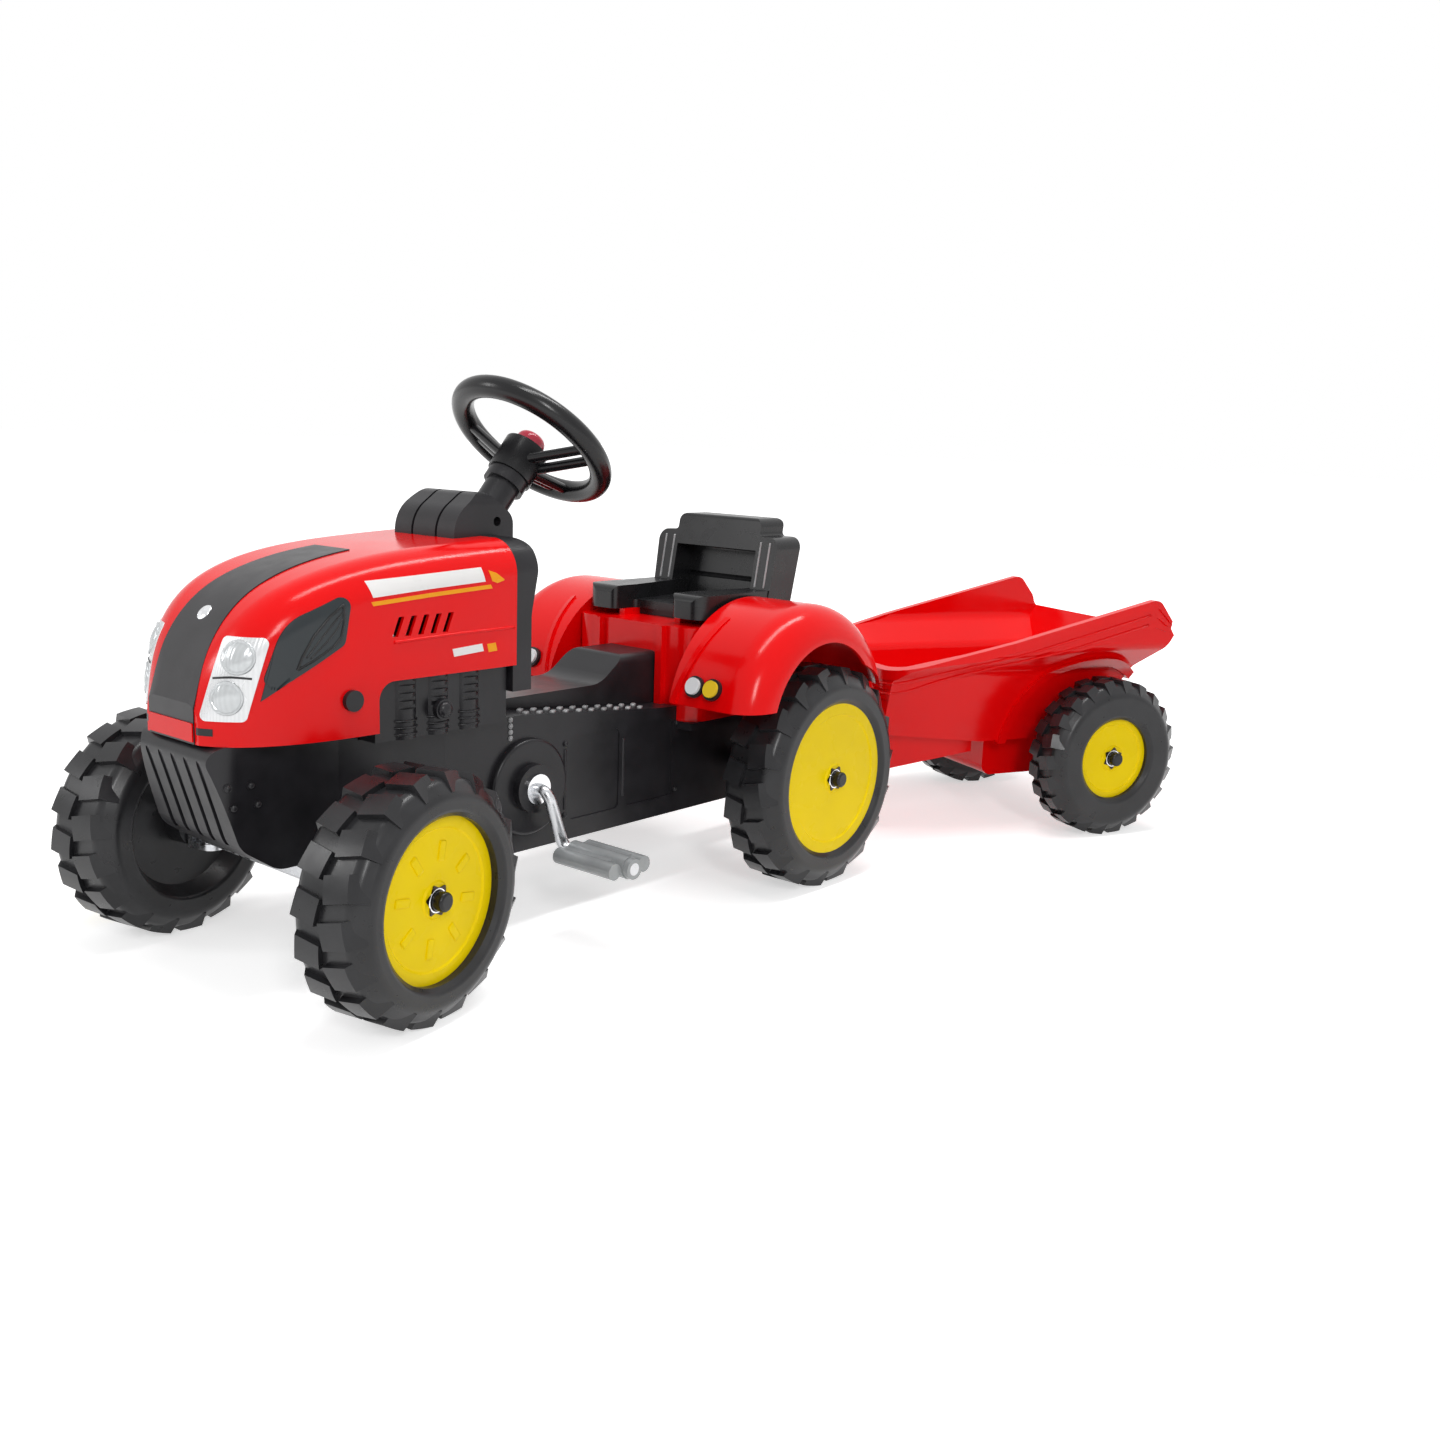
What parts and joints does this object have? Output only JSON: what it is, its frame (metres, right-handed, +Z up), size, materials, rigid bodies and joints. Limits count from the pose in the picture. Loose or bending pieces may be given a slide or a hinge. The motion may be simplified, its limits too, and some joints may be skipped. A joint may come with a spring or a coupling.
{
  "type": "pedal tractor with trailer",
  "caption": "Ride-on pedal tractor toy with chain drive, steered front wheels, sliding seat, horn button and a hitched two-wheel trailer with an open bed.",
  "frame": {"origin": "on the ground at the bottom centre of the overall box, with the front wheels steered a little left and the trailer swung to the left", "axes": "+X is the way the tractor drives, +Y its left, +Z up"},
  "size_m": [1.3488, 0.5974, 0.5355],
  "materials": {
    "red_plastic": "gloss",
    "charcoal_plastic": "satin",
    "grille_grey": "satin",
    "tinted_panel": "gloss",
    "lamp_silver": "gloss",
    "lamp_white": "gloss",
    "lamp_amber": "gloss",
    "tyre_black": "satin",
    "hub_yellow": "gloss",
    "gloss_black": "gloss",
    "horn_crimson": "gloss",
    "zinc_steel": "galvanised",
    "pedal_grey": "satin",
    "bush_white": "satin"
  },
  "bodies": {
    "tractor": {"chassis_frame": "charcoal_plastic", "belly_cover": "charcoal_plastic", "engine_block": "charcoal_plastic", "hood": "red_plastic", "grille_strip": "grille_grey", "headlamps": "lamp_silver", "side_panels": "tinted_panel", "hood_plugs": "charcoal_plastic", "dash_panel": "charcoal_plastic", "steering_cowl": "charcoal_plastic", "column_sleeve": "charcoal_plastic", "steering_lower_bush": "charcoal_plastic", "front_axle_beam": "zinc_steel", "kingpins": "zinc_steel", "crank_bushes": "bush_white", "drive_chain": "zinc_steel", "rear_axle_bushes": "charcoal_plastic", "fender_body": "red_plastic", "lamp_bezels": "charcoal_plastic", "white_lamps": "lamp_white", "amber_lamps": "lamp_amber", "hitch_bracket": "zinc_steel", "hitch_pin": "zinc_steel"},
    "crank": {"crank_rod": "zinc_steel", "drive_sprocket": "zinc_steel", "pedal_caps": "bush_white"},
    "pedal_left": {"pedal_left": "pedal_grey"},
    "pedal_right": {"pedal_right": "pedal_grey"},
    "rear_axle": {"rear_axle_rod": "zinc_steel", "axle_sprocket": "zinc_steel", "rear_spacers": "gloss_black", "rear_tyre_left": "tyre_black", "rear_disc_left": "hub_yellow", "rear_axle_caps": "gloss_black"},
    "rear_wheel_right": {"rear_tyre_right": "tyre_black", "rear_disc_right": "hub_yellow"},
    "steering": {"steering_wheel": "gloss_black", "steering_rod": "zinc_steel"},
    "horn": {"horn_button": "horn_crimson"},
    "knuckle_left": {"knuckle_left": "zinc_steel", "front_axle_cap_left": "gloss_black"},
    "knuckle_right": {"knuckle_right": "zinc_steel", "front_axle_cap_right": "gloss_black"},
    "front_wheel_left": {"front_tyre_left": "tyre_black", "front_disc_left": "hub_yellow"},
    "front_wheel_right": {"front_tyre_right": "tyre_black", "front_disc_right": "hub_yellow"},
    "tie_rod": {"tie_rod": "zinc_steel"},
    "seat": {"seat_shell": "gloss_black"},
    "trailer": {"trailer_bed": "red_plastic", "axle_carrier": "red_plastic", "drawbar": "red_plastic", "trailer_axle": "zinc_steel", "trailer_axle_caps": "gloss_black"},
    "trailer_wheel_left": {"trailer_tyre_left": "tyre_black", "trailer_disc_left": "hub_yellow"},
    "trailer_wheel_right": {"trailer_tyre_right": "tyre_black", "trailer_disc_right": "hub_yellow"}
  },
  "joints": [
    {"name": "crank_spin", "type": "hinge", "parent": "tractor", "child": "crank", "pos_m": [0.32167, -0.07225, 0.143], "axis": [0, 1, 0], "continuous": true},
    {"name": "pedal_left_spin", "type": "hinge", "parent": "crank", "child": "pedal_left", "pos_m": [0.29944, 0.04175, 0.08192], "axis": [0, 1, 0], "continuous": true},
    {"name": "pedal_right_spin", "type": "hinge", "parent": "crank", "child": "pedal_right", "pos_m": [0.3439, -0.18625, 0.20408], "axis": [0, 1, 0], "continuous": true},
    {"name": "rear_axle_spin", "type": "hinge", "parent": "tractor", "child": "rear_axle", "pos_m": [-0.00733, -0.07225, 0.122], "axis": [0, 1, 0], "continuous": true},
    {"name": "rear_wheel_right_spin", "type": "hinge", "parent": "rear_axle", "child": "rear_wheel_right", "pos_m": [-0.00733, -0.24525, 0.122], "axis": [0, 1, 0], "continuous": true},
    {"name": "steering_turn", "type": "hinge", "parent": "tractor", "child": "steering", "pos_m": [0.25567, -0.07225, 0.474], "axis": [-0.6481, 0, 0.7615], "range_deg": [-36, 14]},
    {"name": "horn_press", "type": "slide", "parent": "steering", "child": "horn", "axis": [0.6481, 0, -0.7615], "range_m": [0, 0.004], "stiffness_N_per_m": 300, "springref_m": -0.004},
    {"name": "knuckle_left_turn", "type": "hinge", "parent": "tractor", "child": "knuckle_left", "pos_m": [0.55267, 0.03975, 0.107], "axis": [0, 0, 1], "range_deg": [-36, 14]},
    {"name": "front_wheel_left_spin", "type": "hinge", "parent": "knuckle_left", "child": "front_wheel_left", "pos_m": [0.54103, 0.09963, 0.107], "axis": [-0.1908, 0.9816, 0], "continuous": true},
    {"name": "knuckle_right_turn", "type": "hinge", "parent": "tractor", "child": "knuckle_right", "pos_m": [0.55267, -0.18425, 0.107], "axis": [0, 0, 1], "range_deg": [-36, 14]},
    {"name": "front_wheel_right_spin", "type": "hinge", "parent": "knuckle_right", "child": "front_wheel_right", "pos_m": [0.56431, -0.24413, 0.107], "axis": [-0.1908, 0.9816, 0], "continuous": true},
    {"name": "tie_rod_swing", "type": "hinge", "parent": "knuckle_left", "child": "tie_rod", "pos_m": [0.5134, 0.03212, 0.094], "axis": [0, 0, 1], "range_deg": [-14, 36]},
    {"name": "seat_slide", "type": "slide", "parent": "tractor", "child": "seat", "axis": [1, 0, 0], "range_m": [-0.025, 0.025]},
    {"name": "trailer_yaw", "type": "hinge", "parent": "tractor", "child": "trailer", "pos_m": [-0.13733, -0.07225, 0.08], "axis": [0, 0, 1], "range_deg": [-20, 70]},
    {"name": "trailer_wheel_left_spin", "type": "hinge", "parent": "trailer", "child": "trailer_wheel_left", "pos_m": [-0.45132, 0.23636, 0.1], "axis": [0.4226, 0.9063, 0], "continuous": true},
    {"name": "trailer_wheel_right_spin", "type": "hinge", "parent": "trailer", "child": "trailer_wheel_right", "pos_m": [-0.57557, -0.03009, 0.1], "axis": [0.4226, 0.9063, 0], "continuous": true}
  ],
  "couplings": [
    {"joint": "rear_axle_spin", "follows": "crank_spin", "ratio": 1.4},
    {"joint": "knuckle_left_turn", "follows": "steering_turn", "ratio": 1},
    {"joint": "knuckle_right_turn", "follows": "steering_turn", "ratio": 1},
    {"joint": "tie_rod_swing", "follows": "steering_turn", "ratio": -1}
  ]
}
